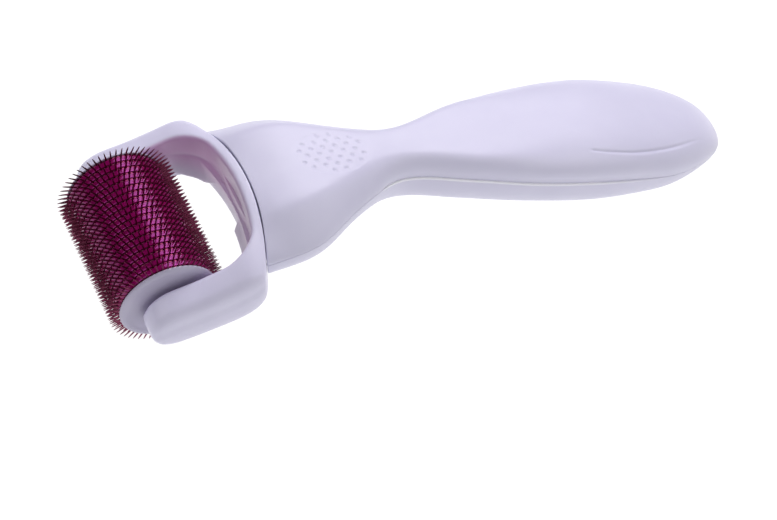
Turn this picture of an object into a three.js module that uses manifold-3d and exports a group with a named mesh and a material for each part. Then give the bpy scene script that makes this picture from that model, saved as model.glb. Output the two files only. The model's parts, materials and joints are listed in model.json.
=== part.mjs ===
// Derma roller with an interchangeable head: a drum of stacked needle discs that spins in a
// fork, and a two-shell handle whose mouth takes the fork's plug.
// Units are millimetres and +Z is up. The roller lies as it does on a table, on the lowest
// needle tips and on the tail of the handle. +X runs from the drum to the tail, and the drum's
// axis lies along Y. The pieces are drawn in the head's own frame, with its origin at the
// middle of the drum and X along the fork's arms, and one group tilts them to the resting pose.

import * as THREE from 'three';
import { mergeVertices } from 'three/addons/utils/BufferGeometryUtils.js';
import Module from 'manifold-3d';

const wasm = await Module();
wasm.setup();

// ---- Driving dimensions ----------------------------------------------------------------

const restTilt = THREE.MathUtils.degToRad(11.81); // how far the arms rise towards the handle
const smallGap = 0.05;        // between stacked pieces of the drum
const jointGap = 0.3;         // between separate mouldings
const restShift = 64.233;     // puts the origin under the middle of the whole roller

// Drum
const discCount = 20;
const needlesPerDisc = 60;
const discKeyTurn = 0.35;     // from each disc to the next, as a share of the needle spacing
const discKeyPlay = 0.12;     // the loose key lets a disc stray by up to this much
const discKeyStray = 2.1;     // how fast the stray comes and goes along the stack
const discPitch = 1.6;
const discThickness = 0.3;
const tipRadius = 12.8;
const needleRootRadius = 8.6; // the valleys lie hidden between the spacer rings
const drumRadius = 10.34;
const capRadius = 10.5;
const capFlange = 0.75;
const capHubRadius = 2.8;
const capSpigotRadius = 4.2;
const capSpigotLength = 4.0;
const hexRadius = 6.4;        // corner radius of the keyed core
const coreBoreRadius = 4.32;
const ringSides = 36;

// Axle
const axleRadius = 1.5;
const axleRunningGap = 0.12;
const axleHalfLength = 20.2;

// Fork
const armInner = 17.2;        // half the gap between the arms
const armOuter = 23.5;        // half the width over the arms' flat outer faces
const mouthRadius = 52;       // the joint between fork and handle is an upright cylinder
const mouthX = 24.0;          // its furthest point along the arms
const crossbarThickness = 2.5;
const railDepth = 0.9;        // the crossbar's lower half is thicker on the drum's side
const ledgeDepth = 1.7;       // and thicker again away from the middle
const ledgeTop = 0;
const recessNearY = -2.2;     // the ledge stops short of the middle between these two
const recessFarY = 6.2;
const plugHalfWidth = 8;
const plugHalfHeight = 2.0;
const plugEndX = 36;
const plugZ = 2.1;
const snapBump = 0.25;

// Handle
const wall = 1.8;
const sleeveWall = 1.0;
const partingGap = 0.06;      // half the gap between the two shells

// Handle stations: x, height of the parting line, half width, rise above it, depth below it,
// and how square the section is above and below the parting line (2 is an ellipse)
const handleStations = [
  [19.5, 2.9, 18.3, 7.0, 8.2, 2.1, 2.8],
  [33.0, 2.0, 17.4, 7.75, 9.0, 2.1, 2.8],
  [45.0, 0.4, 11.0, 6.0, 8.2, 2.8, 2.8],
  [56.5, -2.8, 6.3, 5.6, 9.1, 3.6, 2.6],
  [70.5, -7.0, 9.6, 5.7, 10.2, 3.6, 2.6],
  [86.0, -13.5, 12.6, 7.0, 10.8, 3.2, 2.6],
  [103.0, -20.6, 14.1, 8.1, 11.5, 2.8, 2.6],
  [118.0, -28.1, 13.1, 7.9, 9.4, 2.5, 2.6],
  [130.0, -34.0, 10.9, 7.0, 7.6, 2.3, 2.6],
  [136.5, -39.0, 10.2, 6.0, 6.0, 2.2, 2.6],
];
const handleEndX = 135.9;
const tailStartX = 115;       // from here the handle closes to a rounded tail
const tailPower = 2.6;

// Fork envelope stations: x, middle height, half width, rise, depth, squareness up and down
const forkStations = [
  [-6.1, -0.6, 21.8, 1.8, 2.2, 4, 4],
  [-5.5, -0.6, 22.8, 3.2, 4.0, 4, 4],
  [-4.2, -0.4, 23.6, 4.8, 6.0, 4, 4],
  [-2.0, -0.2, 23.9, 5.9, 7.1, 4, 4],
  [0.0, 0, 24.0, 6.2, 7.6, 4, 4],
  [6.0, 0.2, 24.0, 6.3, 7.9, 4, 4],
  [12.0, 0.8, 24.0, 6.5, 8.3, 4, 4],
  [15.5, 1.5, 23.9, 6.7, 8.5, 3.6, 3.8],
  [18.0, 2.1, 23.0, 6.8, 8.5, 3.0, 3.5],
  [20.0, 2.5, 21.1, 6.9, 8.4, 2.5, 3.1],
  [21.6, 2.8, 19.0, 7.0, 8.4, 2.2, 2.8],
  [25.5, 2.6, 18.2, 7.2, 8.6, 2.1, 2.8],
];

// ---- Materials -------------------------------------------------------------------------

const whitePlastic = { color: 0xdcdaf0, roughness: 0.35, metalness: 0 };
const headPlastic = { color: 0xd2d2ea, roughness: 0.35, metalness: 0 };
const capPlastic = { color: 0xb9bfd6, roughness: 0.4, metalness: 0 };
const magentaPlastic = { color: 0x7a0a4c, roughness: 0.2, metalness: 0 };
const needleSteel = { color: 0xb9aeb2, roughness: 0.3, metalness: 1 };
const axleSteel = { color: 0xc4c6ca, roughness: 0.3, metalness: 1 };

// ---- Shared helpers --------------------------------------------------------------------

const roller = new THREE.Group();
roller.rotation.y = -restTilt;
roller.position.set(-restShift, 0, tipRadius);

function addPiece(name, geometry, look) {
  const piece = new THREE.Mesh(geometry, new THREE.MeshStandardMaterial(look));
  piece.name = name;
  roller.add(piece);
}

function toSolid(geometry) {
  const bare = geometry.clone();
  bare.deleteAttribute('normal');
  bare.deleteAttribute('uv');
  const merged = mergeVertices(bare, 1e-5);
  return new wasm.Manifold(new wasm.Mesh({
    numProp: 3,
    vertProperties: new Float32Array(merged.attributes.position.array),
    triVerts: new Uint32Array(merged.index.array),
  }));
}

function toGeometry(solid) {
  const mesh = solid.getMesh();
  const geometry = new THREE.BufferGeometry();
  geometry.setAttribute('position', new THREE.BufferAttribute(mesh.vertProperties, 3));
  geometry.setIndex(new THREE.BufferAttribute(mesh.triVerts, 1));
  geometry.computeVertexNormals();
  return geometry;
}

function boxSolid(low, high) {
  const size = high.map((value, i) => value - low[i]);
  const box = new THREE.BoxGeometry(...size);
  box.translate(...low.map((value, i) => value + size[i] / 2));
  return toSolid(box);
}

// A prism over a flat shape in X and Y, from one height to another.
function prismSolid(shape, lowZ, highZ) {
  const prism = new THREE.ExtrudeGeometry(shape, {
    depth: highZ - lowZ, bevelEnabled: false, curveSegments: 12,
  });
  prism.translate(0, 0, lowZ);
  return toSolid(prism);
}

// A body of revolution about the drum's axis, from [radius, y] points in a closed loop.
function turnedGeometry(profile, sides) {
  const points = profile.map(([radius, y]) => new THREE.Vector2(radius, y));
  return new THREE.LatheGeometry([...points, points[0]], sides);
}

// Value of one column of a station table at x, on a smooth curve through the stations.
function stationValue(stations, column, x) {
  const last = stations.length - 1;
  let i = 0;
  while (i < last - 1 && x > stations[i + 1][0]) i += 1;
  const slopeAt = (k) => {
    const a = stations[Math.max(k - 1, 0)];
    const b = stations[Math.min(k + 1, last)];
    return (b[column] - a[column]) / (b[0] - a[0]);
  };
  const [from, to] = [stations[i], stations[i + 1]];
  const span = to[0] - from[0];
  const t = THREE.MathUtils.clamp((x - from[0]) / span, 0, 1);
  const [t2, t3] = [t * t, t * t * t];
  return (2 * t3 - 3 * t2 + 1) * from[column] + (t3 - 2 * t2 + t) * span * slopeAt(i)
    + (3 * t2 - 2 * t3) * to[column] + (t3 - t2) * span * slopeAt(i + 1);
}

// One point of a superellipse section; angle 0 is +Y and a quarter turn is up.
function sectionPoint(angle, halfWidth, rise, depth, powerUp, powerDown) {
  const [c, s] = [Math.cos(angle), Math.sin(angle)];
  const power = s >= 0 ? powerUp : powerDown;
  const y = halfWidth * Math.sign(c) * Math.abs(c) ** (2 / power);
  const height = (s >= 0 ? rise : depth) * Math.sign(s) * Math.abs(s) ** (2 / power);
  return [y, height];
}

// A closed skin over a row of rings with the same number of points, with flat ends.
function loftGeometry(rings) {
  const size = rings[0].length;
  const points = rings.flat();
  const faces = [];
  for (let i = 0; i + 1 < rings.length; i += 1) {
    for (let j = 0; j < size; j += 1) {
      const next = (j + 1) % size;
      const [a, b] = [i * size + j, i * size + next];
      faces.push(a, b, a + size, b, b + size, a + size);
    }
  }
  for (const [ring, flip] of [[0, true], [rings.length - 1, false]]) {
    const centre = rings[ring].reduce((sum, p) => sum.add(p), new THREE.Vector3());
    points.push(centre.divideScalar(size));
    for (let j = 0; j < size; j += 1) {
      const [a, b] = [ring * size + j, ring * size + (j + 1) % size];
      faces.push(points.length - 1, flip ? b : a, flip ? a : b);
    }
  }
  const geometry = new THREE.BufferGeometry().setFromPoints(points);
  geometry.setIndex(faces);
  return geometry;
}

// ---- Drum ------------------------------------------------------------------------------

const discY = (i) => (i - (discCount - 1) / 2) * discPitch;
const stackEnd = discY(discCount - 1) + discThickness / 2;

function ringPoints(radius, count, firstAngle) {
  const points = [];
  for (let k = 0; k < count; k += 1) {
    const angle = firstAngle + (2 * Math.PI * k) / count;
    points.push(new THREE.Vector2(radius * Math.cos(angle), radius * Math.sin(angle)));
  }
  return points;
}

// A plate over a shape in the drum's cross plane, centred at y on the drum's axis.
function plateGeometry(shape, y, thickness) {
  const plate = new THREE.ExtrudeGeometry(shape, { depth: thickness, bevelEnabled: false });
  plate.rotateX(Math.PI / 2);
  plate.translate(0, y + thickness / 2, 0);
  return plate;
}

const keyHoleRadius = hexRadius + 0.17;

// How far a disc is turned on its loose key, as a share of the needle spacing.
function discTurn(index) {
  return (discKeyTurn * index + discKeyPlay * Math.sin(discKeyStray * index)) % 1;
}

// A thin steel disc whose rim is cut into needles.
function needleDisc(index) {
  const step = (2 * Math.PI) / needlesPerDisc;
  const turn = discTurn(index) * step;
  const rim = ringPoints(needleRootRadius, needlesPerDisc, turn - step / 2);
  const hole = ringPoints(keyHoleRadius, 6, 0);
  const tips = ringPoints(tipRadius, needlesPerDisc, turn);
  const flat = [...rim, ...hole];
  const at = (y) => (point) => new THREE.Vector3(point.x, y, point.y);
  const points = [
    ...flat.map(at(discY(index) - discThickness / 2)),
    ...flat.map(at(discY(index) + discThickness / 2)),
    ...tips.map(at(discY(index))),
  ];
  const back = flat.length;
  const faces = [];
  for (const [a, b, c] of THREE.ShapeUtils.triangulateShape(rim, [hole])) {
    faces.push(a, b, c, back + a, back + c, back + b);
  }
  for (let k = 0; k < hole.length; k += 1) {
    const [a, b] = [needlesPerDisc + k, needlesPerDisc + (k + 1) % hole.length];
    faces.push(a, b, back + a, b, back + b, back + a);
  }
  for (let k = 0; k < needlesPerDisc; k += 1) {
    const [a, b, tip] = [k, (k + 1) % needlesPerDisc, 2 * back + k];
    faces.push(a, tip, b, back + a, back + b, tip, a, back + a, tip, b, tip, back + b);
  }
  const geometry = new THREE.BufferGeometry().setFromPoints(points);
  geometry.setIndex(faces);
  return geometry;
}

function spacerRing(index) {
  const shape = new THREE.Shape(ringPoints(drumRadius, ringSides, 0));
  shape.holes.push(new THREE.Path(ringPoints(keyHoleRadius, 6, 0)));
  const thickness = discPitch - discThickness - 2 * smallGap;
  return plateGeometry(shape, discY(index) + discPitch / 2, thickness);
}

// The hexagonal tube that keys the discs and rings together.
function drumCore() {
  const shape = new THREE.Shape(ringPoints(hexRadius, 6, 0));
  shape.holes.push(new THREE.Path(ringPoints(coreBoreRadius, ringSides, 0)));
  return plateGeometry(shape, 0, 2 * stackEnd);
}

// A moulded end cap: a dished flange, a hub that runs on the axle and a spigot in the core.
function endCap(side) {
  const inner = stackEnd + smallGap;
  const rim = inner + capFlange;
  const hubFace = armInner - jointGap;
  const bore = axleRadius + axleRunningGap;
  const profile = [
    [bore, inner - capSpigotLength],
    [capSpigotRadius, inner - capSpigotLength],
    [capSpigotRadius, inner],
    [capRadius, inner],
    [capRadius, rim - 0.25],
    [capRadius - 0.6, rim],
    [capRadius - 1.5, rim - 0.15],
    [capHubRadius, rim + 0.1],
    [capHubRadius - 0.3, hubFace],
    [bore, hubFace],
  ];
  const cap = turnedGeometry(profile, ringSides);
  if (side < 0) cap.rotateX(Math.PI);
  return cap;
}

addPiece('drum_core', drumCore(), magentaPlastic);
for (let i = 0; i < discCount; i += 1) {
  addPiece(`needle_disc_${String(i + 1).padStart(2, '0')}`, needleDisc(i), needleSteel);
}
for (let i = 0; i < discCount - 1; i += 1) {
  addPiece(`spacer_ring_${String(i + 1).padStart(2, '0')}`, spacerRing(i), magentaPlastic);
}
addPiece('end_cap_near', endCap(-1), capPlastic);
addPiece('end_cap_far', endCap(1), capPlastic);

// ---- Head: axle and fork ---------------------------------------------------------------

addPiece('axle_pin', new THREE.CylinderGeometry(axleRadius, axleRadius, 2 * axleHalfLength, 24),
  axleSteel);

// The upright cylinder whose surface is the joint between fork and handle.
function mouthCylinder(gap) {
  const cylinder = new THREE.CylinderGeometry(mouthRadius + gap, mouthRadius + gap, 60, 120);
  cylinder.rotateX(Math.PI / 2);
  cylinder.translate(mouthX - mouthRadius, 0, 0);
  return toSolid(cylinder);
}

function forkEnvelope() {
  const sectionPoints = 32;
  const rings = forkStations.map(([x, middle, ...section]) => {
    const ring = [];
    for (let k = 0; k < sectionPoints; k += 1) {
      const angle = (2 * Math.PI * (k + 0.5)) / sectionPoints;
      const [y, height] = sectionPoint(angle, ...section);
      ring.push(new THREE.Vector3(x, y, middle + height));
    }
    return ring;
  });
  const flats = boxSolid([-20, -armOuter, -20], [40, armOuter, 20]);
  return toSolid(loftGeometry(rings)).intersect(flats);
}

// The space between the arms, whose end follows the mouth's curve with round corners.
function armGapShape(setback) {
  const cornerY = 13;
  const frontRadius = mouthRadius - crossbarThickness - setback;
  const centreX = mouthX - mouthRadius;
  const turn = Math.asin(cornerY / frontRadius);
  const cornerX = centreX + frontRadius * Math.cos(turn);
  const shape = new THREE.Shape();
  shape.moveTo(-20, -armInner);
  shape.lineTo(cornerX - 5.5, -armInner);
  shape.quadraticCurveTo(cornerX - 1, -armInner, cornerX, -cornerY);
  shape.absarc(centreX, 0, frontRadius, -turn, turn, false);
  shape.quadraticCurveTo(cornerX - 1, armInner, cornerX - 5.5, armInner);
  shape.lineTo(-20, armInner);
  return shape;
}

function axleHole(side) {
  const length = axleHalfLength + jointGap;
  const hole = new THREE.CylinderGeometry(axleRadius + 0.05, axleRadius + 0.05, length, 24);
  hole.translate(0, (side * length) / 2, 0);
  return toSolid(hole);
}

function forkPlug() {
  let plug = boxSolid(
    [mouthX - 3, -plugHalfWidth, plugZ - plugHalfHeight],
    [plugEndX, plugHalfWidth, plugZ + plugHalfHeight],
  );
  const slotLength = 8;
  for (const side of [-1, 1]) {
    const y = side * (plugHalfWidth - 2);
    plug = plug.subtract(boxSolid(
      [plugEndX - slotLength, y - 0.4, -10],
      [plugEndX + 1, y + 0.4, 10],
    ));
    const bumpY = side * plugHalfWidth;
    plug = plug.add(boxSolid(
      [plugEndX - 3, bumpY - snapBump, plugZ - 1],
      [plugEndX - 1, bumpY + snapBump, plugZ + 1],
    ));
  }
  return plug;
}

function fork() {
  let body = forkEnvelope().intersect(mouthCylinder(-jointGap / 2));
  const middle = boxSolid([0, recessNearY, -20], [40, recessFarY, 20]);
  body = body.subtract(prismSolid(armGapShape(0), ledgeTop, 20));
  body = body.subtract(prismSolid(armGapShape(ledgeDepth), -20, 20));
  body = body.subtract(prismSolid(armGapShape(railDepth), -20, 20).intersect(middle));
  body = body.subtract(axleHole(-1)).subtract(axleHole(1));
  return body.add(forkPlug());
}

addPiece('fork', toGeometry(fork()), headPlastic);

// ---- Handle ----------------------------------------------------------------------------

// The handle's section ring at x, shrunk by an inset to make the cavity.
function handleRing(x, inset, sectionPoints) {
  const value = (column) => stationValue(handleStations, column, x);
  const slope = (stationValue(handleStations, 1, x + 0.1) - stationValue(handleStations, 1, x - 0.1))
    / 0.2;
  const normal = new THREE.Vector2(-slope, 1).normalize();
  const endX = handleEndX - inset;
  const reach = THREE.MathUtils.clamp((x - tailStartX) / (endX - tailStartX), 0, 1);
  const closing = (1 - reach ** tailPower) ** (1 / tailPower);
  const [halfWidth, rise, depth] = [2, 3, 4].map((column) => (value(column) - inset) * closing);
  const ring = [];
  for (let k = 0; k < sectionPoints; k += 1) {
    const angle = (2 * Math.PI * (k + 0.5)) / sectionPoints;
    const [y, height] = sectionPoint(angle, halfWidth, rise, depth, value(5), value(6));
    ring.push(new THREE.Vector3(x + normal.x * height, y, value(1) + normal.y * height));
  }
  return ring;
}

// Rings are evenly spaced along the grip and crowd together where the tail closes.
function handleBody(startX, inset, gripRings, tailRings, sectionPoints) {
  const rings = [];
  for (let i = 0; i < gripRings; i += 1) {
    const x = startX + ((tailStartX - startX) * i) / gripRings;
    rings.push(handleRing(x, inset, sectionPoints));
  }
  for (let i = 0; i <= tailRings; i += 1) {
    const turn = (i / tailRings) * (Math.PI / 2) * 0.97;
    const x = tailStartX + (handleEndX - inset - tailStartX) * Math.sin(turn);
    rings.push(handleRing(x, inset, sectionPoints));
  }
  return toSolid(loftGeometry(rings));
}

// Everything above or below the parting line, as a slab across the whole handle.
function partingSide(side) {
  const shape = new THREE.Shape();
  const reach = 60;
  shape.moveTo(10, side * reach);
  for (let x = 10; x <= 150; x += 5) {
    shape.lineTo(x, stationValue(handleStations, 1, x) + side * partingGap);
  }
  shape.lineTo(150, side * reach);
  const slab = new THREE.ExtrudeGeometry(shape, { depth: 60, bevelEnabled: false });
  slab.rotateX(Math.PI / 2);
  slab.translate(0, 30, 0);
  return toSolid(slab);
}

const sleeveInnerY = plugHalfWidth + jointGap;
const sleeveInnerZ = plugHalfHeight + jointGap;
const sleeveOuterY = sleeveInnerY + sleeveWall;
const sleeveOuterZ = sleeveInnerZ + sleeveWall;
const sleeveStartX = mouthX + 1.2;
const sleeveEndX = plugEndX + 0.4;

// The receiver inside the mouth that the fork's plug slides into, with windows for its bumps.
function socketSleeve() {
  let sleeve = boxSolid(
    [sleeveStartX, -sleeveOuterY, plugZ - sleeveOuterZ],
    [sleeveEndX, sleeveOuterY, plugZ + sleeveOuterZ],
  );
  sleeve = sleeve.subtract(boxSolid(
    [0, -sleeveInnerY, plugZ - sleeveInnerZ],
    [60, sleeveInnerY, plugZ + sleeveInnerZ],
  ));
  return sleeve.subtract(boxSolid(
    [plugEndX - 3.3, -20, plugZ - 1.3],
    [plugEndX - 0.7, 20, plugZ + 1.3],
  ));
}

const outerBody = handleBody(19.0, 0, 26, 8, 28);
const cavity = handleBody(15, wall, 15, 3, 16);
const hollowBody = outerBody.subtract(cavity);

// One shell with the ribs that hold the sleeve.
function handleShell(side) {
  let shell = hollowBody;
  for (const ribX of [mouthX + 3, plugEndX - 4]) {
    const sleeveFace = plugZ + side * (sleeveOuterZ + jointGap);
    const heights = side > 0 ? [sleeveFace, 30] : [-30, sleeveFace];
    const rib = boxSolid([ribX - 0.6, -5, heights[0]], [ribX + 0.6, 5, heights[1]]);
    shell = shell.add(rib.intersect(outerBody));
  }
  return shell.intersect(partingSide(side)).subtract(mouthCylinder(jointGap / 2));
}

addPiece('socket_sleeve', toGeometry(socketSleeve()), whitePlastic);
addPiece('handle_upper_shell', toGeometry(handleShell(1)), whitePlastic);
addPiece('handle_lower_shell', toGeometry(handleShell(-1)), whitePlastic);

export default roller;
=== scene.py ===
"""Looks of the derma roller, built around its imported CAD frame.

Shapes are worked out in millimetres in the head's own frame: its origin is the middle of the
drum, X runs along the fork's arms to the handle, Y along the drum's axis and Z up from the arms.
place() turns such points into metres in the row's frame.
"""

import json
import math

import bmesh
import bpy
import numpy as np
from mathutils import Matrix, Vector


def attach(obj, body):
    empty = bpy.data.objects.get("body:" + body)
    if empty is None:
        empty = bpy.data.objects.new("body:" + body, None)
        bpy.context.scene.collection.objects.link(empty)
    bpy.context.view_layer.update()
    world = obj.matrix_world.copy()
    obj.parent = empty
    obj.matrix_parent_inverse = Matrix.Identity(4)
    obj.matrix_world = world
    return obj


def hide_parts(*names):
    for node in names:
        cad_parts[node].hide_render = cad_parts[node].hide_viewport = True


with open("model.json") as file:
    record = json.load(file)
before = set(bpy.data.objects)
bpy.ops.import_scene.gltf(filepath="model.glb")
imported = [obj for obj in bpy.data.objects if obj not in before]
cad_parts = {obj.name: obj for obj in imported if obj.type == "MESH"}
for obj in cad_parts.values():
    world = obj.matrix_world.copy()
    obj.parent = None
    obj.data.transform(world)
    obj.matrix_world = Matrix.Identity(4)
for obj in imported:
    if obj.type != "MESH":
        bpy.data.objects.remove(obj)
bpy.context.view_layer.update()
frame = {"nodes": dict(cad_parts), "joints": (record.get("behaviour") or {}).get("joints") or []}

# ---- The head's frame --------------------------------------------------------------------

joints = {joint["name"]: joint for joint in frame["joints"]}
drum_centre = np.array(joints["drum_spin"]["pos_m"])
along_arms = -np.array(joints["head_release"]["axis"])
along_drum = np.array(joints["drum_spin"]["axis"])
up_from_arms = np.cross(along_arms, along_drum)
head_axes = np.stack([along_arms, along_drum, up_from_arms])

MILLIMETRE = 0.001


def place(points):
    """Millimetres in the head's frame to metres in the row's frame."""
    return drum_centre + MILLIMETRE * np.asarray(points, float) @ head_axes


# ---- Driving dimensions, in millimetres ----------------------------------------------------

DISC_COUNT = 20
NEEDLES_PER_DISC = 60
DISC_KEY_TURN = 0.35         # from each disc to the next, as a share of the needle spacing
DISC_KEY_PLAY = 0.12         # the loose key lets a disc stray by up to this much
DISC_KEY_STRAY = 2.1         # how fast the stray comes and goes along the stack
DISC_PITCH = 1.6
DISC_THICKNESS = 0.3
TIP_RADIUS = 12.78
DISC_RIM_RADIUS = 10.1
DRUM_RADIUS = 10.32
CORE_CLEARANCE_RADIUS = 6.6
SMALL_GAP = 0.05
STACK_END = (DISC_COUNT - 1) / 2 * DISC_PITCH + DISC_THICKNESS / 2

CAP_RADIUS = 10.48
CAP_FLANGE = 0.75
CAP_HUB_RADIUS = 2.8
CAP_SPIGOT_RADIUS = 4.2
CAP_SPIGOT_LENGTH = 4.0
CAP_BORE_RADIUS = 1.62

ARM_INNER = 17.2
ARM_OUTER = 23.48
MOUTH_RADIUS = 52.0
MOUTH_X = 24.0
MOUTH_GAP = 0.1
CROSSBAR_THICKNESS = 2.5
GAP_CORNER = 6.0             # radius of the two inner corners between arms and crossbar
RAIL_DEPTH = 0.9             # how far the crossbar's lower half stands out on the drum's side
LEDGE_DEPTH = 1.7            # and how far it does away from the middle
LEDGE_NEAR_EXTRA = 0.5       # the ledge is this much deeper on the near side
LEDGE_TOP_DEPTH = 0.35
LEDGE_TOP = 1.5
LEDGE_BOTTOM = -4.5
LEDGE_START_X = 11.0         # it grows out of the arms from here
LEDGE_FULL_X = 16.5
FAR_LEDGE_LIFT = 3.6         # the far ledge's bottom rises by this much towards its end
RECESS_NEAR = -2.2           # the ledge stops short of the middle between these two
RECESS_FAR = 6.2
PLUG_HALF_WIDTH = 8.0
PLUG_HALF_HEIGHT = 2.0
PLUG_END_X = 36.0
PLUG_Z = 2.1
SNAP_BUMP = 0.25
PLUG_SLOT_LENGTH = 8
AXLE_HOLE_RADIUS = 1.55
AXLE_HOLE_END = 20.5

WALL = 1.8
PARTING_GAP = 0.06
PARTING_STEP = 0.38          # how far the lower shell's rim stands out past the upper shell
STEPPED_GAP = 0.012          # the parting gap where the rim stands out
STEP_START = (49.5, 53)      # the rim comes out between these two places along the handle
STEP_END = (124, 104)        # and goes back between these
RIM_HIGHLIGHT_WIDTH = 0.4         # of the painted highlight band on the lower shell's rim
SKIN_INSET = 0.1             # keeps the smooth skin within the faceted CAD solid
TAIL_START_X = 115.0
TAIL_END_X = 135.9
TAIL_POWER = 2.6

# Handle: x, height of the parting line, half width, rise above it, depth below it, and how
# square the section is above and below the line
HANDLE_STATIONS = np.array([
    [19.5, 2.9, 18.3, 7.0, 8.2, 2.1, 2.8],
    [33.0, 2.0, 17.4, 7.75, 9.0, 2.1, 2.8],
    [45.0, 0.4, 11.0, 6.0, 8.2, 2.8, 2.8],
    [56.5, -2.8, 6.3, 5.6, 9.1, 3.6, 2.6],
    [70.5, -7.0, 9.6, 5.7, 10.2, 3.6, 2.6],
    [86.0, -13.5, 12.6, 7.0, 10.8, 3.2, 2.6],
    [103.0, -20.6, 14.1, 8.1, 11.5, 2.8, 2.6],
    [118.0, -28.1, 13.1, 7.9, 9.4, 2.5, 2.6],
    [130.0, -34.0, 10.9, 7.0, 7.6, 2.3, 2.6],
    [136.5, -39.0, 10.2, 6.0, 6.0, 2.2, 2.6],
])

# Fork: x, middle height, half width, rise, depth, and how square the section is up and down
FORK_STATIONS = np.array([
    [-6.1, -0.6, 21.8, 1.8, 2.2, 4, 4],
    [-5.5, -0.6, 22.8, 3.2, 4.0, 4, 4],
    [-4.2, -0.4, 23.6, 4.8, 6.0, 4, 4],
    [-2.0, -0.2, 23.9, 6.0, 7.5, 4, 4],
    [0.0, 0, 24.0, 6.3, 8.1, 4, 4],
    [6.0, 0.2, 24.0, 6.4, 8.4, 4, 4],
    [12.0, 0.8, 24.0, 6.6, 8.8, 4, 4],
    [15.5, 1.5, 23.9, 6.8, 9.0, 3.6, 3.8],
    [18.0, 2.1, 23.0, 6.8, 9.0, 3.0, 3.5],
    [20.0, 2.5, 21.1, 6.9, 8.8, 2.5, 3.1],
    [21.6, 2.8, 19.0, 7.0, 8.4, 2.2, 2.8],
    [25.5, 2.6, 18.2, 7.2, 8.6, 2.1, 2.8],
])

# Soft crease along the top of the roller: x, its place across the half width, and how square
# the flank below it is
CREASE_STATIONS = np.array([
    [16.0, 0.58, 1.3],
    [33.0, 0.60, 1.3],
    [42.0, 0.60, 1.4],
    [48.0, 0.55, 1.5],
    [52.0, 0.56, 1.6],
    [57.0, 0.63, 1.7],
    [61.0, 0.68, 1.8],
    [65.0, 0.71, 1.8],
    [69.0, 0.76, 1.9],
    [73.5, 0.80, 2.0],
    [78.0, 0.78, 2.0],
    [92.0, 0.78, 2.0],
])
CREASE_SOFTNESS = 0.5
TOP_CROWN = 0.05


# ---- Shared shape helpers ------------------------------------------------------------------

def station_curve(stations, x):
    """Every column of a station table at each x, on a smooth curve through the stations."""
    x = np.asarray(x, float)
    knots = stations[:, 0]
    last = len(stations) - 1
    before = np.maximum(np.arange(last + 1) - 1, 0)
    after = np.minimum(np.arange(last + 1) + 1, last)
    slopes = (stations[after] - stations[before]) / (knots[after] - knots[before])[:, None]
    i = np.clip(np.searchsorted(knots, x) - 1, 0, last - 1)
    span = (knots[i + 1] - knots[i])[..., None]
    t = np.clip((x - knots[i])[..., None] / span, 0, 1)
    t2, t3 = t * t, t * t * t
    return ((2 * t3 - 3 * t2 + 1) * stations[i] + (t3 - 2 * t2 + t) * span * slopes[i]
            + (3 * t2 - 2 * t3) * stations[i + 1] + (t3 - t2) * span * slopes[i + 1])


def smooth_step(low, high, value):
    t = np.clip((value - low) / (high - low), 0, 1)
    return t * t * (3 - 2 * t)


def creased_height(x, across, rise):
    """Height of the creased upper section above the parting line; across is y over half width."""
    _, place_across, power = np.moveaxis(station_curve(CREASE_STATIONS, x), -1, 0)
    across = np.minimum(np.abs(across), 1)
    top = rise * (1 - TOP_CROWN * across ** 2)
    flank_rise = (rise * (1 - TOP_CROWN * place_across ** 2)
                  / (1 - place_across ** power) ** (1 / power))
    flank = flank_rise * (1 - across ** power) ** (1 / power)
    return np.maximum(0, -CREASE_SOFTNESS * np.logaddexp(-top / CREASE_SOFTNESS,
                                                          -flank / CREASE_SOFTNESS))


def crease_strength(x):
    """How much of the creased section there is at x; the rest is a plain superellipse."""
    return smooth_step(19, 27, x) * smooth_step(90, 74, x)


def grid_faces(rows, columns, start=0, wrap=False):
    """Quads over a grid of vertices that are numbered row by row."""
    across = columns if wrap else columns - 1
    i, j = np.meshgrid(np.arange(rows - 1), np.arange(across), indexing="ij")
    a = start + i * columns + j
    b = start + i * columns + (j + 1) % columns
    return np.stack([a, b, b + columns, a + columns], axis=-1).reshape(-1, 4)


def new_piece(name, points, faces, body, look, replaced, smooth_angle=None, rim=None):
    """A closed mesh piece from points in millimetres, riding on a body in place of CAD nodes.

    rim is the share of the painted rim highlight at each point, for a material that paints it.
    """
    mesh = bpy.data.meshes.new(name)
    mesh.from_pydata(place(points).tolist(), [], [list(face) for face in faces])
    if rim is not None:
        mesh.attributes.new("rim", "FLOAT", "POINT").data.foreach_set("value", rim)
    edit = bmesh.new()
    edit.from_mesh(mesh)
    bmesh.ops.remove_doubles(edit, verts=edit.verts, dist=1e-7)
    bmesh.ops.dissolve_degenerate(edit, edges=edit.edges, dist=1e-8)
    bmesh.ops.recalc_face_normals(edit, faces=edit.faces)
    edit.to_mesh(mesh)
    edit.free()
    mesh.shade_smooth()
    if smooth_angle:
        mesh.set_sharp_from_angle(angle=math.radians(smooth_angle))
    piece = bpy.data.objects.new(name, mesh)
    bpy.context.scene.collection.objects.link(piece)
    mesh.materials.append(look)
    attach(piece, body)
    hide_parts(*replaced)
    return piece


# ---- Materials -----------------------------------------------------------------------------

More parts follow.
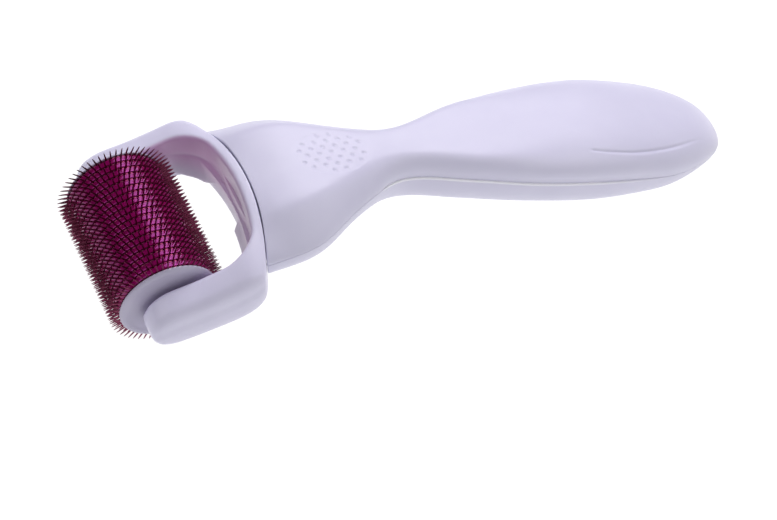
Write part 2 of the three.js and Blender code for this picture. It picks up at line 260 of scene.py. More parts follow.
class Look:
    """A Principled material with short ways to add procedural texture to it."""

    def __init__(self, name, values):
        self.material = bpy.data.materials.new(name)
        self.material.use_nodes = True
        self.tree = self.material.node_tree
        self.shader = self.tree.nodes["Principled BSDF"]
        for socket, value in values.items():
            self.shader.inputs[socket].default_value = value
        self.place = self.tree.nodes.new("ShaderNodeTexCoord").outputs["Object"]

    def node(self, kind, links=(), **settings):
        node = self.tree.nodes.new(kind)
        for name, value in settings.items():
            setattr(node, name, value)
        for socket, source in dict(links).items():
            if isinstance(source, bpy.types.NodeSocket):
                self.tree.links.new(source, node.inputs[socket])
            else:
                node.inputs[socket].default_value = source
        return node

    def noise(self, size, detail=3, stretch=(1, 1, 1)):
        """Noise whose features are about size millimetres across, stretched along each axis."""
        scale = tuple(1 / (size * MILLIMETRE * factor) for factor in stretch)
        mapping = self.node("ShaderNodeMapping", {"Vector": self.place, "Scale": scale})
        settings = {"Vector": mapping.outputs["Vector"], "Scale": 1.0, "Detail": detail}
        return self.node("ShaderNodeTexNoise", settings).outputs["Fac"]

    def spread(self, source, low, high, source_low=0.3, source_high=0.7):
        links = {"Value": source, "From Min": source_low, "From Max": source_high,
                 "To Min": low, "To Max": high}
        return self.node("ShaderNodeMapRange", links).outputs["Result"]

    def between(self, share, first, second):
        """A mix of two fixed colours."""
        mix = self.node("ShaderNodeMix", data_type="RGBA")
        self.tree.links.new(share, mix.inputs["Factor"])
        mix.inputs[6].default_value = (*first, 1)
        mix.inputs[7].default_value = (*second, 1)
        return mix.outputs[2]

    def blend(self, share, first, second):
        """A mix of two colour outputs."""
        mix = self.node("ShaderNodeMix", data_type="RGBA")
        for socket, source in ((0, share), (6, first), (7, second)):
            self.tree.links.new(source, mix.inputs[socket])
        return mix.outputs[2]

    def maths(self, operation, *values):
        return self.node("ShaderNodeMath", dict(enumerate(values)), operation=operation).outputs[0]

    def bump(self, height, depth, before=None):
        """Relief of depth millimetres, on top of an earlier one."""
        links = {"Height": height, "Strength": 1.0, "Distance": depth * MILLIMETRE}
        if before:
            links["Normal"] = before
        return self.node("ShaderNodeBump", links).outputs["Normal"]

    def feed(self, socket, source):
        self.tree.links.new(source, self.shader.inputs[socket])


def painted_drum_bounce(look):
    """Share of painted pink bounce light from the drum on the walls of the gap that face it, most
    at the far corner and higher up.
    """
    turn = Matrix(head_axes.tolist()).to_euler()
    head_place = look.node("ShaderNodeMapping", {
        "Vector": look.place, "Rotation": turn, "Location": tuple(-head_axes @ drum_centre),
    })
    x, y, z = look.node("ShaderNodeSeparateXYZ", {"Vector": head_place.outputs[0]}).outputs
    from_centre_x = look.maths("SUBTRACT", x, (MOUTH_X - MOUTH_RADIUS) * MILLIMETRE)
    across = look.maths("POWER", y, 2.0)
    from_centre = look.maths("SQRT", look.maths(
        "ADD", look.maths("POWER", from_centre_x, 2.0), across))
    wall = look.maths("SUBTRACT", from_centre, (MOUTH_RADIUS - CROSSBAR_THICKNESS) * MILLIMETRE)
    arm = look.maths("SUBTRACT", look.maths("ABSOLUTE", y), ARM_INNER * MILLIMETRE)
    corner_radius = GAP_CORNER * MILLIMETRE
    reach = [look.maths("POWER", look.maths("MAXIMUM", look.maths("ADD", side, corner_radius), 0.0),
                        2.0) for side in (wall, arm)]
    outside = look.maths("SUBTRACT", look.maths("SQRT", look.maths("ADD", *reach)), corner_radius)
    skin = look.spread(outside, 1, 0, -0.0002, 0.0007)
    height = look.spread(z, 0.1, 1, -0.003, 0.003)
    far = look.spread(y, 0.35, 1, -0.004, 0.012)
    return look.maths("MULTIPLY", skin, look.maths("MULTIPLY", height, far))


def moulded_plastic(name, light, dark, roughness, drum_bounce_painted=False, rim_highlight_painted=False):
    """Satin moulded plastic: a faint flow mottle, spark-eroded grain and rubbed patches, with
    optional painted pink bounce light from the drum and an optional painted highlight along a rim.
    """
    look = Look(name, {
        "IOR": 1.49, "Subsurface Weight": 0.12, "Subsurface Scale": 0.0015,
        "Subsurface Radius": (1.0, 0.85, 1.0), "Specular IOR Level": 0.4,
    })
    mottle = look.noise(9, detail=4, stretch=(1.6, 1, 1))
    colour = look.between(look.spread(mottle, 0, 1), light, dark)
    if drum_bounce_painted:
        # Painted bounce light: the drum's magenta painted onto the gap's walls.
        painted_bounce_colour = look.between(look.spread(mottle, 0, 1), (0.80, 0.48, 0.80), (0.75, 0.41, 0.74))
        colour = look.blend(painted_drum_bounce(look), colour, painted_bounce_colour)
    if rim_highlight_painted:
        # Painted highlight: a lighter band along the rim, where the rim catches light.
        rim = look.node("ShaderNodeAttribute", attribute_name="rim").outputs["Fac"]
        painted_highlight = look.between(look.spread(mottle, 0, 1), (0.93, 0.925, 1.0), (0.90, 0.895, 0.98))
        colour = look.blend(rim, colour, painted_highlight)
    look.feed("Base Color", colour)
    rubbed = look.noise(2.2, detail=5)
    look.feed("Roughness", look.spread(rubbed, roughness - 0.05, roughness + 0.06))
    grain = look.bump(look.noise(0.16, detail=2), 0.004)
    look.feed("Normal", look.bump(look.noise(5, detail=2), 0.03, grain))
    return look.material


def drum_gloss():
    """Glossy magenta plastic with turned rings and small flow streaks round the drum."""
    look = Look("drum_magenta_gloss", {
        "IOR": 1.6, "Specular IOR Level": 0.5, "Specular Tint": (1.0, 0.18, 0.92, 1),
        "Subsurface Weight": 0.1, "Subsurface Scale": 0.001,
        "Subsurface Radius": (1.0, 0.1, 0.5),
    })
    mottle = look.noise(1.4, detail=4, stretch=(1, 0.6, 1))
    look.feed("Base Color", look.between(look.spread(mottle, 0, 1),
                                         (0.23, 0.001, 0.085), (0.18, 0.0008, 0.064)))
    look.feed("Roughness", look.spread(look.noise(0.7, detail=3), 0.1, 0.2))
    turned = look.noise(0.12, detail=2, stretch=(30, 1, 30))
    look.feed("Normal", look.bump(turned, 0.003))
    return look.material


def needle_steel():
    """Etched needle steel, with a painted reflection of the drum's magenta at the roots and paler
    at the tips.
    """
    look = Look("needle_etched_steel", {"Metallic": 1.0, "IOR": 2.0})
    lengthwise = look.node("ShaderNodeVectorMath", {0: look.place, 1: (1, 0, 1)},
                           operation="MULTIPLY")
    radius = look.node("ShaderNodeVectorMath", {0: lengthwise.outputs["Vector"]},
                       operation="LENGTH")
    along = look.spread(radius.outputs["Value"], 0, 1, 0.0102, 0.0124)
    etched = look.noise(0.5, detail=5, stretch=(1, 0.4, 1))
    # Painted reflection: the drum's magenta painted onto the needle roots.
    root_painted_reflection = look.between(look.spread(etched, 0, 1), (0.40, 0.008, 0.17), (0.55, 0.018, 0.25))
    tip = look.between(look.spread(etched, 0, 1), (0.14, 0.018, 0.055), (0.25, 0.05, 0.11))
    look.feed("Base Color", look.blend(along, root_painted_reflection, tip))
    look.feed("Roughness", look.spread(look.noise(0.25, detail=3), 0.26, 0.44))
    look.feed("Normal", look.bump(look.noise(0.09, detail=2), 0.006))
    return look.material


def axle_steel():
    """Drawn steel with fine lines along the pin."""
    look = Look("axle_drawn_steel", {"Metallic": 1.0, "IOR": 2.4})
    drawn = look.noise(0.1, detail=4, stretch=(1, 40, 1))
    look.feed("Base Color", look.between(look.spread(drawn, 0, 1),
                                         (0.48, 0.48, 0.5), (0.66, 0.66, 0.68)))
    look.feed("Roughness", look.spread(drawn, 0.2, 0.36))
    look.feed("Normal", look.bump(drawn, 0.004))
    return look.material


HANDLE_COLOURS = (0.66, 0.645, 0.80), (0.63, 0.615, 0.775)
HANDLE_LOOK = moulded_plastic("handle_satin_plastic", *HANDLE_COLOURS, 0.36)
# The lower shell carries a painted highlight along its rim.
RIM_HIGHLIGHT_LOOK = moulded_plastic("handle_plastic_painted_rim_highlight", *HANDLE_COLOURS, 0.36, rim_highlight_painted=True)
# The fork carries painted pink bounce light from the drum on the walls of its gap.
FORK_LOOK = moulded_plastic(
    "fork_satin_plastic", (0.69, 0.67, 0.83), (0.66, 0.64, 0.805), 0.33, drum_bounce_painted=True)
CAP_LOOK = moulded_plastic(
    "cap_satin_plastic", (0.50, 0.47, 0.605), (0.47, 0.44, 0.575), 0.34)
DRUM_LOOK = drum_gloss()
NEEDLE_LOOK = needle_steel()
AXLE_LOOK = axle_steel()


# ---- Drum ----------------------------------------------------------------------------------

def turned(profile, segments):
    """A closed ring body: a loop of [radius, y] points turned about the drum's axis."""
    profile = np.array(profile, float)
    turn = 2 * np.pi * np.arange(segments) / segments
    radius, y = profile[:, 0][:, None], profile[:, 1][:, None]
    points = np.stack([radius * np.cos(turn), y + 0 * turn, radius * np.sin(turn)], axis=-1)
    faces = grid_faces(len(profile) + 1, segments, wrap=True)
    return points.reshape(-1, 3), faces % (len(profile) * segments)


def corner(radius, y, fillet, from_angle, to_angle, steps=5):
    """An arc of [radius, y] points about a fillet's centre, between two angles in degrees."""
    angles = np.radians(np.linspace(from_angle, to_angle, steps))
    return [[radius + fillet * math.cos(a), y + fillet * math.sin(a)] for a in angles]


def disc_y(index):
    return (index - (DISC_COUNT - 1) / 2) * DISC_PITCH


def spacer_ring(index):
    """A glossy ring between two discs, slightly crowned, with small rounded edges."""
    middle = disc_y(index) + DISC_PITCH / 2
    half = (DISC_PITCH - DISC_THICKNESS) / 2 - SMALL_GAP
    fillet, crown = 0.12, 0.03
    crown_points = [[DRUM_RADIUS - crown * (y / half) ** 2, middle + y]
                    for y in np.linspace(-half + 2 * fillet, half - 2 * fillet, 5)]
    edge = DRUM_RADIUS - crown - fillet
    profile = (
        [[CORE_CLEARANCE_RADIUS, middle - half]]
        + corner(edge, middle - half + fillet, fillet, -90, 0)
        + crown_points
        + corner(edge, middle + half - fillet, fillet, 0, 90)
        + [[CORE_CLEARANCE_RADIUS, middle + half]]
    )
    points, faces = turned(profile, 144)
    name = f"spacer_ring_{index + 1:02d}"
    new_piece(f"gloss_{name}", points, faces, "drum", DRUM_LOOK, [name], 50)


# A needle's outline: radius, half width and half thickness
NEEDLE_STATIONS = [
    [10.45, 0.16, 0.10],
    [11.3, 0.14, 0.09],
    [12.1, 0.105, 0.075],
    [12.55, 0.06, 0.045],
]
NEEDLE_BASE_HALF_WIDTH = 0.25


def disc_turn(index):
    """How far a disc is turned on its loose key, as a share of the needle spacing."""
    return DISC_KEY_TURN * index + DISC_KEY_PLAY * math.sin(DISC_KEY_STRAY * index)


def needle_disc(index):
    """One etched disc with its rim of flat pointed needles, ground to an edge on both sides."""
    sector = 2 * np.pi / NEEDLES_PER_DISC
    centres = sector * (np.arange(NEEDLES_PER_DISC) + disc_turn(index))
    half_base = NEEDLE_BASE_HALF_WIDTH / DISC_RIM_RADIUS
    y = disc_y(index)
    points = []
    faces = []

    def add(radius, angle, height):
        points.append([radius * math.cos(angle), y + height, radius * math.sin(angle)])
        return len(points) - 1

    half = DISC_THICKNESS / 2
    inner, rim = [], []
    for centre in centres:
        for angle in (centre - sector / 2, centre - half_base, centre + half_base):
            inner.append([add(CORE_CLEARANCE_RADIUS, angle, -half),
                          add(CORE_CLEARANCE_RADIUS, angle, half)])
            rim.append([add(DISC_RIM_RADIUS, angle, -half), add(DISC_RIM_RADIUS + 0.04, angle, 0),
                        add(DISC_RIM_RADIUS, angle, half)])
    count = len(rim)
    for k in range(count):
        n = (k + 1) % count
        faces.append([inner[k][0], inner[n][0], rim[n][0], rim[k][0]])
        faces.append([inner[k][1], rim[k][2], rim[n][2], inner[n][1]])
        faces.append([inner[k][0], inner[k][1], inner[n][1], inner[n][0]])
        if k % 3 != 1:
            faces.append([rim[k][0], rim[n][0], rim[n][1], rim[k][1]])
            faces.append([rim[k][1], rim[n][1], rim[n][2], rim[k][2]])
    for k, centre in enumerate(centres):
        left, right = rim[3 * k + 1], rim[3 * k + 2]
        for radius, half_width, half_thickness in NEEDLE_STATIONS:
            swing = half_width / radius
            edge_swing = (half_width + 0.4 * half_thickness) / radius
            next_left = [add(radius, centre - swing, -half_thickness),
                         add(radius, centre - edge_swing, 0),
                         add(radius, centre - swing, half_thickness)]
            next_right = [add(radius, centre + swing, -half_thickness),
                          add(radius, centre + edge_swing, 0),
                          add(radius, centre + swing, half_thickness)]
            loop = [*left, *reversed(right)]
            next_loop = [*next_left, *reversed(next_right)]
            for m in range(6):
                n = (m + 1) % 6
                faces.append([loop[m], loop[n], next_loop[n], next_loop[m]])
            left, right = next_left, next_right
        tip = add(TIP_RADIUS, centre, 0)
        loop = [*left, *reversed(right)]
        for m in range(6):
            faces.append([loop[m], loop[(m + 1) % 6], tip])
    name = f"needle_disc_{index + 1:02d}"
    new_piece(f"etched_{name}", points, faces, "drum", NEEDLE_LOOK, [name], 35)


def end_cap(side, node):
    """Moulded cap: a dished flange with a soft rim, a hub that meets the arm and a spigot."""
    inner = STACK_END + SMALL_GAP
    rim = inner + CAP_FLANGE
    hub_face = ARM_INNER - 0.3
    hub_fillet = 0.3
    shoulder = [[CAP_RADIUS - 1.15 * (1 - math.cos(a)), rim - 0.6 * (1 - math.sin(a))]
                for a in np.radians(np.linspace(0, 84, 9))]
    profile = (
        [[CAP_BORE_RADIUS, inner - CAP_SPIGOT_LENGTH]]
        + [[CAP_SPIGOT_RADIUS, inner - CAP_SPIGOT_LENGTH], [CAP_SPIGOT_RADIUS, inner]]
        + [[CAP_RADIUS - 0.1, inner], [CAP_RADIUS - 0.02, inner + 0.05]]
        + shoulder
        + [[CAP_RADIUS - 1.35, rim - 0.03], [CAP_RADIUS - 1.6, rim - 0.09]]
        + [[CAP_RADIUS - 1.9, rim - 0.14], [CAP_RADIUS - 2.3, rim - 0.17]]
        + [[7.0, rim - 0.18], [5.4, rim - 0.16], [4.2, rim - 0.1]]
        + corner(CAP_HUB_RADIUS + 0.35, rim + 0.27, -0.35, 90, 0, 5)
        + corner(CAP_HUB_RADIUS - hub_fillet, hub_face - hub_fillet, hub_fillet, 0, 90, 5)
        + corner(CAP_BORE_RADIUS + 0.15, hub_face - 0.15, 0.15, 90, 180, 4)
    )
    profile = [[radius, side * y] for radius, y in profile]
    points, faces = turned(profile, 160)
    new_piece(f"moulded_{node}", points, faces, "drum", CAP_LOOK, [node], 40)


for i in range(DISC_COUNT):
    needle_disc(i)
for i in range(DISC_COUNT - 1):
    spacer_ring(i)
end_cap(-1, "end_cap_near")
end_cap(1, "end_cap_far")


# ---- Fork ----------------------------------------------------------------------------------

def net_skin(field, low, step):
    """The closed skin where a sampled field passes zero, one vertex to each crossed cell."""
    inside = field < 0
    cells = tuple(n - 1 for n in field.shape)
    total = np.zeros((*cells, 3), np.float32)
    count = np.zeros(cells, np.float32)
    corners = [(i, j, k) for i in (0, 1) for j in (0, 1) for k in (0, 1)]

    def at(values, offset):
        return values[tuple(slice(o, o + n) for o, n in zip(offset, cells))]

    for first in corners:
        for axis in range(3):
            if first[axis]:
                continue
            second = tuple(o + (a == axis) for a, o in enumerate(first))
            crossed = at(inside, first) != at(inside, second)
            here, there = at(field, first)[crossed], at(field, second)[crossed]
            spot = np.tile(np.array(first, np.float32), (len(here), 1))
            spot[:, axis] += here / (here - there)
            total[crossed] += spot
            count[crossed] += 1
    used = count > 0
    number = np.full(cells, -1, np.int64)
    number[used] = np.arange(used.sum())
    base = np.argwhere(used)
    points = low + step * (base + total[used] / count[used][:, None])
    faces = []
    for axis in range(3):
        u, v = (axis + 1) % 3, (axis + 2) % 3
        near = [slice(None)] * 3
        far = [slice(None)] * 3
        near[axis], far[axis] = slice(0, -1), slice(1, None)
        first, second = inside[tuple(near)], inside[tuple(far)]
        edge = np.argwhere(first != second)
        leaving = first[tuple(edge.T)]
        quad = []
        for du, dv in ((-1, -1), (0, -1), (0, 0), (-1, 0)):
            cell = edge.copy()
            cell[:, u] += du
            cell[:, v] += dv
            quad.append(number[tuple(cell.T)])
        quad = np.stack(quad, axis=1)
        quad[~leaving] = quad[~leaving][:, ::-1]
        faces.append(quad)
    return points, np.concatenate(faces)


def both(a, b, fillet):
    """Where two solids overlap, with the edge between them rounded to a fillet."""
    outer = np.hypot(np.maximum(a + fillet, 0), np.maximum(b + fillet, 0))
    return outer + np.minimum(np.maximum(a, b), -fillet)


def either(a, b, fillet):
    """Two solids joined, with the corner between them filled to a fillet."""
    return -both(-a, -b, fillet)


def slab(value, low, high):
    return np.maximum(low - value, value - high)


def fork_field(x, y, z, step):
    """Signed distance to the fork, negative inside, close to its skin."""
    _, middle, half_width, rise, depth, power_up, power_down = station_curve(
        FORK_STATIONS, x[:, 0, 0]).T[:, :, None, None]
    height = z - middle
    reach = np.where(height >= 0, rise, depth)
    power = np.where(height >= 0, power_up, power_down)
    share = (np.abs(y / half_width) ** power + np.abs(height / reach) ** power) ** (1 / power)
    envelope = share - 1
    gradient = np.sqrt(sum(g * g for g in np.gradient(envelope, step)))
    envelope = envelope / np.maximum(gradient, 0.02)
    centre_x = MOUTH_X - MOUTH_RADIUS
    from_centre = np.hypot(x - centre_x, y)
    mouth = from_centre - (MOUTH_RADIUS - MOUTH_GAP)
    wall = MOUTH_RADIUS - CROSSBAR_THICKNESS
    gap = both(np.abs(y) - ARM_INNER, from_centre - wall, GAP_CORNER)
    below = smooth_step(1.0, -1.5, height)
    outer_fillet = 2.3 - 0.8 * below
    inner_fillet = 1.0 + 1.2 * below
    body = both(envelope, np.abs(y) - ARM_OUTER, outer_fillet)
    body = both(body, mouth, 0.25)
    body = both(body, -gap, inner_fillet)
    body = np.maximum(body, FORK_STATIONS[0, 0] - x)

    run_in = smooth_step(LEDGE_START_X, LEDGE_FULL_X, x)
    drop = np.clip((LEDGE_TOP - z) / (LEDGE_TOP - LEDGE_BOTTOM), 0, 1.1)
    slope_depth = LEDGE_DEPTH - LEDGE_TOP_DEPTH + LEDGE_NEAR_EXTRA * (y < 0)
    ledge_depth = (LEDGE_TOP_DEPTH + slope_depth * drop) * run_in
    ledge_gap = both(np.abs(y) - ARM_INNER + 0.6 * ledge_depth,
                     from_centre - wall + ledge_depth, 0.9 * GAP_CORNER)
    ledge_bottom = LEDGE_BOTTOM + FAR_LEDGE_LIFT * smooth_step(12.5, 7.0, y) * (y > 0)
    ledge = both(slab(z, ledge_bottom, LEDGE_TOP), -ledge_gap, 0.4)
    ledge = both(ledge, np.minimum(RECESS_FAR - y, y - RECESS_NEAR), 0.5)
    rail = both(slab(z, LEDGE_BOTTOM - 0.1, 0.9), wall - RAIL_DEPTH - from_centre, 0.3)
    ledge = either(ledge, rail, 0.25)
    ledge = np.maximum(ledge, from_centre - (MOUTH_RADIUS - 1.0))
    ledge = both(ledge, np.abs(y) - (ARM_INNER + 1), 0.3)
    ledge = np.maximum(ledge, LEDGE_START_X - x)
    body = either(body, ledge, 0.3)

    plug = both(slab(x, MOUTH_X - 3, PLUG_END_X), np.abs(y) - PLUG_HALF_WIDTH, 0.6)
    plug = both(plug, np.abs(z - PLUG_Z) - PLUG_HALF_HEIGHT, 0.4)
    slot = np.maximum(np.abs(np.abs(y) - (PLUG_HALF_WIDTH - 2)) - 0.4,
                      PLUG_END_X - PLUG_SLOT_LENGTH - x)
    plug = both(plug, -slot, 0.15)
    bump = both(slab(x, PLUG_END_X - 3, PLUG_END_X - 1), np.abs(z - PLUG_Z) - 1, 0.2)
    bump = both(bump, slab(np.abs(y), PLUG_HALF_WIDTH - 1, PLUG_HALF_WIDTH + SNAP_BUMP), 0.15)
    body = either(body, either(plug, bump, 0.1), 0.25)

    hole = np.maximum(np.hypot(x, z) - AXLE_HOLE_RADIUS, np.abs(y) - AXLE_HOLE_END)
    return both(body, -hole, 0.1)


def soften(points, faces, rounds, share):
    """Evens out a skin by moving each vertex towards the mean of its neighbours."""
    loops = np.concatenate([faces[:, [0, 1]], faces[:, [1, 2]], faces[:, [2, 3]], faces[:, [3, 0]]])
    total = np.bincount(loops[:, 0], minlength=len(points))
    for _ in range(rounds):
        mean = np.stack([np.bincount(loops[:, 0], points[loops[:, 1], axis], len(points))
                         for axis in range(3)], axis=1) / total[:, None]
        points = points + share * (mean - points)
    return points


def fork():
    step = 0.22
    low = np.array([-7.2, -24.0, -8.0])
    high = np.array([36.8, 24.0, 10.6])
    axes = [np.arange(a, b, step) for a, b in zip(low, high)]
    x, y, z = np.meshgrid(*axes, indexing="ij", sparse=True)
    points, faces = net_skin(fork_field(x, y, z, step), low, step)
    points = soften(points, faces, 2, 0.5)
    new_piece("moulded_fork", points, faces, "head", FORK_LOOK, ["fork"])


fork()


# ---- Handle --------------------------------------------------------------------------------

TABLE_STEP = 0.25
TABLE_X = np.arange(HANDLE_STATIONS[0, 0] - 3, TAIL_END_X + TABLE_STEP, TABLE_STEP)


def handle_table():
    """The handle's columns along x, evened out so that the curvature changes gently."""
    margin = 24
    x = TABLE_STEP * np.arange(-margin, len(TABLE_X) + margin) + TABLE_X[0]
    table = station_curve(HANDLE_STATIONS, x)
    for side, knot in ((x < HANDLE_STATIONS[0, 0], 0), (x > HANDLE_STATIONS[-1, 0], -1)):
        edge = HANDLE_STATIONS[knot]
        slope = (station_curve(HANDLE_STATIONS, edge[0] + (0.5 if knot == 0 else -0.5)) - edge)
        slope = slope / (0.5 if knot == 0 else -0.5)
        table[side] = edge + slope * (x[side] - edge[0])[:, None]
    width = 1.5
    offsets = TABLE_STEP * np.arange(-margin, margin + 1)
    kernel = np.exp(-(offsets / width) ** 2 / 2)
    kernel = kernel / kernel.sum()
    return np.stack([np.convolve(column, kernel, "valid") for column in table.T], axis=1)


HANDLE_TABLE = handle_table()


def handle_value(column, x):
    return np.interp(x, TABLE_X, HANDLE_TABLE[:, column])


def handle_point(x, angle, inset):
    """A point of the handle's skin; angle 0 is +Y, and a quarter turn is up."""
    parting = handle_value(1, x)
    slope = (handle_value(1, x + 0.3) - handle_value(1, x - 0.3)) / 0.6
    lean = np.hypot(slope, 1)
    reach = np.clip((x - TAIL_START_X) / (TAIL_END_X - inset - TAIL_START_X), 0, 1)
    closing = np.maximum(1 - reach ** TAIL_POWER, 0) ** (1 / TAIL_POWER)
    upper = np.sin(angle) >= 0
    power = np.where(upper, handle_value(5, x), handle_value(6, x))
    rise = (np.where(upper, handle_value(3, x), handle_value(4, x)) - inset) * closing
    half_width = (handle_value(2, x) - inset) * closing
    c, s = np.cos(angle), np.sin(angle)
    y = half_width * np.sign(c) * np.abs(c) ** (2 / power)
    height = rise * np.sign(s) * np.abs(s) ** (2 / power)
    across = np.abs(c) ** (2 / power)
    creased = creased_height(x, across, np.maximum(rise, 0.01))
    height = height + upper * crease_strength(x) * (creased - height)
    return np.stack([x - slope / lean * height, y, parting + height / lean], axis=-1)


def mouth_x(y):
    return MOUTH_X - MOUTH_RADIUS + np.sqrt((MOUTH_RADIUS + MOUTH_GAP) ** 2 - y * y)


EDGE_STEPS = np.array([0, 0.012, 0.04, 0.085, 0.15, 0.28])


def column_angles(side, columns):
    """For each x of the table, the section angles that space the skin's columns evenly."""
    fine = np.linspace(0, np.pi, 721)
    fine = fine if side > 0 else fine + np.pi
    share = np.linspace(-1, 1, columns - 2 * len(EDGE_STEPS) + 2)
    share = 0.5 + 0.5 * share * (0.6 + 0.4 * np.abs(share))
    angles = []
    for x in TABLE_X:
        points = handle_point(np.full(len(fine), x), fine, SKIN_INSET)
        length = np.concatenate([[0], np.cumsum(np.linalg.norm(np.diff(points, axis=0), axis=1))])
        edge = EDGE_STEPS * min(1, length[-1] / 20)
        middle = edge[-1] + (length[-1] - 2 * edge[-1]) * share
        spots = np.concatenate([edge[:-1], middle, length[-1] - edge[-2::-1]])
        angles.append(np.interp(spots, length, fine))
    return np.array(angles)


def angles_at(table, x):
    """The table's angle for each x of a rows by columns grid."""
    place_in_table = np.clip((x - TABLE_X[0]) / TABLE_STEP, 0, len(TABLE_X) - 1.001)
    row = place_in_table.astype(int)
    column = np.arange(table.shape[1])[None, :] + 0 * row
    share = place_in_table - row
    return (1 - share) * table[row, column] + share * table[row + 1, column]


def fillet_sink(distance, radius):
    """How far a rounded edge drops below the skin, at a distance from the edge."""
    short = np.clip(radius - distance, 0, radius)
    return radius - np.sqrt(np.maximum(radius * radius - short * short, 0))


def handle_rows():
    """Stations along the handle: crowded at the mouth, the dimples, the groove and the tail."""
    spans = [(MOUTH_X + 0.7, 35.0, 0.5), (35.0, 51.5, 0.2), (51.5, 97.0, 0.6),
             (97.0, TAIL_START_X, 0.35)]
    coarse = 1.0
    rows = [MOUTH_X + d for d in (0, 0.01, 0.04, 0.09, 0.16, 0.25, 0.36)]
    for low, high, step in spans:
        rows += list(np.arange(low, high, step * coarse))
    turn = np.linspace(0, np.pi / 2, 90)
    tail = TAIL_START_X + (TAIL_END_X - SKIN_INSET - TAIL_START_X) * np.sin(turn)
    return np.array(rows + list(tail))


def dimple_sink(points):
    """The staggered field of thumb dimples in its shallow oval."""
    centre_x, half_length, half_width = 43.0, 7.5, 5.2
    pitch_x, pitch_y, radius, depth = 2.65, 1.6, 0.38, 0.2
    x, y = points[..., 0] - centre_x, points[..., 1]
    oval = (x / half_length) ** 2 + (y / half_width) ** 2
    row = np.round(y / pitch_y)
    shift = np.where(row % 2 == 0, 0.0, pitch_x / 2)
    column = np.round((x - shift) / pitch_x)
    spot_x = column * pitch_x + shift
    spot_y = row * pitch_y
    wanted = (spot_x / half_length) ** 2 + (spot_y / half_width) ** 2 < 1.05
    distance = np.hypot(x - spot_x, y - spot_y)
    return depth * wanted * np.exp(-(distance / radius) ** 2) + 0.05 * smooth_step(1.3, 1.12, oval)


# The groove on the tail's near flank: x, and how far it lies to the near side
GROOVE_STATIONS = np.array([
    [99.3, 9.75], [104.4, 10.7], [110.3, 11.0], [117.1, 10.3], [122.1, 9.3], [128.6, 7.3],
])


def groove_sink(points):
    """The short groove along the near flank of the tail, crisp at its front end."""
    x, y = points[..., 0], -points[..., 1]
    line = station_curve(GROOVE_STATIONS, x)[..., 1]
    strength = smooth_step(99.1, 99.7, x) * smooth_step(131, 118, x)
    distance = y - line
    groove = np.exp(-(distance / 0.28) ** 2)
    hollow = smooth_step(0.1, -0.2, distance) * np.exp(-np.maximum(-distance, 0) / 3.0)
    run_in = smooth_step(99.1, 108, x)
    return strength * (0.3 * groove + 0.15 * run_in * hollow)


def handle_shell(side, node):
    """One half of the handle: outer and inner skins joined by strips round the open edges."""
    columns = 220
    table = column_angles(side, columns)
    nominal = handle_rows()[:, None] + np.zeros((1, columns))

    def skin(inset):
        start = np.full((1, columns), MOUTH_X - 1.0)
        for _ in range(30):
            spot = handle_point(start, angles_at(table, start), inset)
            start = start + mouth_x(spot[..., 1]) - spot[..., 0]
        fade = np.clip((35.0 - nominal) / 11.0, 0, 1) ** 1.5
        x = nominal + (start - MOUTH_X) * fade
        x = np.minimum(x, TAIL_END_X - inset)
        return x, handle_point(x, angles_at(table, x), inset)

    x, outer = skin(SKIN_INSET)
    _, inner = skin(WALL)
    down_rows = np.gradient(outer, axis=0)
    across = np.gradient(outer, axis=1)
    normal = np.cross(across, down_rows)
    normal = normal / np.maximum(np.linalg.norm(normal, axis=-1, keepdims=True), 1e-9)
    centre = np.stack([x, 0 * x, handle_value(1, x)], axis=-1)
    outward = np.sign(np.sum(normal * (outer - centre), axis=-1, keepdims=True))
    normal = normal * outward

    from_mouth = outer[..., 0] - mouth_x(outer[..., 1])
    steps = np.linalg.norm(np.diff(outer, axis=1), axis=-1)
    run = np.concatenate([np.zeros((len(outer), 1)), np.cumsum(steps, axis=1)], axis=1)
    from_parting = np.minimum(run, run[:, -1:] - run)
    tail_fade = smooth_step(TAIL_END_X - 0.6, TAIL_END_X - 2.5, x)
    edge_radius = 0.12 if side > 0 else 0.28
    sink = fillet_sink(from_mouth, 0.22) + tail_fade * fillet_sink(from_parting, edge_radius)
    if side > 0:
        sink = sink + dimple_sink(outer) + tail_fade * groove_sink(outer)
        stepped = smooth_step(*STEP_START, x) * smooth_step(*STEP_END, x)
        inset = PARTING_STEP * stepped * np.exp(-(from_parting / 1.8) ** 2)
        outer[..., 1] -= np.sign(outer[..., 1]) * inset
    outer = outer - normal * sink[..., None]
    lift = np.zeros_like(outer)
    lift[..., 2] = side * (PARTING_GAP - (PARTING_GAP - STEPPED_GAP) * smooth_step(*STEP_START, x))

    rows = len(nominal)
    points = np.concatenate([(outer + lift).reshape(-1, 3), (inner + lift).reshape(-1, 3)])
    outside = grid_faces(rows, columns)
    inside = grid_faces(rows, columns, start=rows * columns)[:, ::-1]
    number = np.arange(rows * columns).reshape(rows, columns)
    strips = []
    for line in (number[0], number[::-1, 0], number[:, -1]):
        a, b = line[:-1], line[1:]
        strips.append(np.stack([b, a, a + rows * columns, b + rows * columns], axis=1))
    faces = np.concatenate([outside, inside, *strips])
    if side > 0:
        look, rim = HANDLE_LOOK, None
    else:
        # Painted highlight along the lower shell's rim, from the step's start to x = 92.
        highlight_run = smooth_step(*STEP_START, x) * smooth_step(STEP_END[0], 92, x)
        highlight_band = highlight_run * np.exp(-(from_parting / RIM_HIGHLIGHT_WIDTH) ** 4)
        look, rim = RIM_HIGHLIGHT_LOOK, np.concatenate([highlight_band.ravel(), highlight_band.ravel()])
    new_piece(f"moulded_{node}", points, faces, "handle", look, [node], 60, rim)


handle_shell(1, "handle_upper_shell")
handle_shell(-1, "handle_lower_shell")


# ---- CAD nodes that stay -------------------------------------------------------------------

def finish_node(node, look):
    mesh = frame["nodes"][node].data
    mesh.materials.clear()
    mesh.materials.append(look)


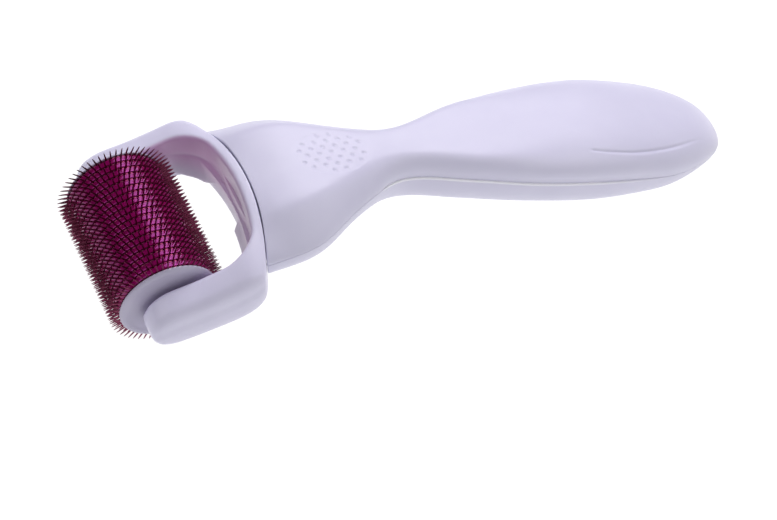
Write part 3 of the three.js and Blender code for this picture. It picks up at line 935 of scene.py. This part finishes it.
finish_node("drum_core", DRUM_LOOK)
finish_node("axle_pin", AXLE_LOOK)
finish_node("socket_sleeve", HANDLE_LOOK)


# ---- Floor, light and camera ---------------------------------------------------------------

def pale_floor():
    """A wide plain floor of faintly mottled matt board that glows a little, as a light table."""
    half = 3.0
    mesh = bpy.data.meshes.new("pale_floor")
    mesh.from_pydata([(-half, -half, 0), (half, -half, 0), (half, half, 0), (-half, half, 0)],
                     [], [(0, 1, 2, 3)])
    floor = bpy.data.objects.new("pale_floor", mesh)
    bpy.context.scene.collection.objects.link(floor)
    look = Look("pale_floor_board", {
        "Roughness": 0.9, "Specular IOR Level": 0.1,
        "Emission Color": (1, 1, 1, 1), "Emission Strength": 1.0,
    })
    mottle = look.spread(look.noise(60, detail=3), 0, 1)
    look.feed("Base Color", look.between(mottle, (0.12, 0.12, 0.12), (0.10, 0.10, 0.105)))
    mesh.materials.append(look.material)


def softbox(name, target, direction, distance, size, watts, colour):
    """A rectangular light that faces a target from a direction."""
    light = bpy.data.lights.new(name, "AREA")
    light.shape = "RECTANGLE"
    light.size, light.size_y = size
    light.energy = watts
    light.color = colour
    lamp = bpy.data.objects.new(name, light)
    bpy.context.scene.collection.objects.link(lamp)
    direction = Vector(direction).normalized()
    lamp.location = Vector(target) + direction * distance
    lamp.rotation_euler = direction.to_track_quat("Z", "Y").to_euler()


def studio_light():
    world = bpy.data.worlds.new("studio")
    bpy.context.scene.world = world
    world.use_nodes = True
    background = world.node_tree.nodes["Background"]
    background.inputs["Color"].default_value = (0.93, 0.94, 1.0, 1)
    background.inputs["Strength"].default_value = 0.14
    softbox("back_softbox", drum_centre, (0.42, 0.55, 0.72), distance=0.7,
            size=(0.46, 0.5), watts=3.0, colour=(0.96, 0.935, 1.0))
    softbox("front_fill", (0.05, 0, 0), (0.45, -0.65, 0.68), distance=0.55,
            size=(0.5, 0.5), watts=1.15, colour=(1.0, 0.985, 0.96))
    softbox("left_panel", drum_centre, (-0.75, 0.12, 0.65), distance=1.6,
            size=(1.0, 1.0), watts=6.3, colour=(1.0, 0.97, 1.0))
    softbox("tail_fill", (0.065, 0, 0), (0.1, 0.3, 1.0), distance=0.4,
            size=(0.2, 0.2), watts=0.3, colour=(1.0, 0.985, 0.97))


def photo_camera():
    """Looks down at the roller from the near left, rolled a little to the left."""
    target = Vector((-0.01673, -0.01980, 0.014))
    distance = 0.52062
    azimuth, elevation, roll = (math.radians(a) for a in (36.338, 49.682, -15.430))
    forward = Vector((math.sin(azimuth) * math.cos(elevation),
                      math.cos(azimuth) * math.cos(elevation), -math.sin(elevation)))
    right = forward.cross(Vector((0, 0, 1))).normalized()
    up = right.cross(forward)
    rolled_up = up * math.cos(roll) + right * math.sin(roll)
    rolled_right = forward.cross(rolled_up)
    camera = bpy.data.cameras.new("camera")
    camera.sensor_width = 36.0
    camera.lens = 115.83
    camera.clip_start, camera.clip_end = 0.01, 20.0
    holder = bpy.data.objects.new("camera", camera)
    bpy.context.scene.collection.objects.link(holder)
    turn = Matrix((rolled_right, rolled_up, -forward)).transposed()
    holder.matrix_world = Matrix.Translation(target - forward * distance) @ turn.to_4x4()
    bpy.context.scene.camera = holder


pale_floor()
studio_light()
photo_camera()
bpy.context.scene.view_settings.view_transform = "Standard"
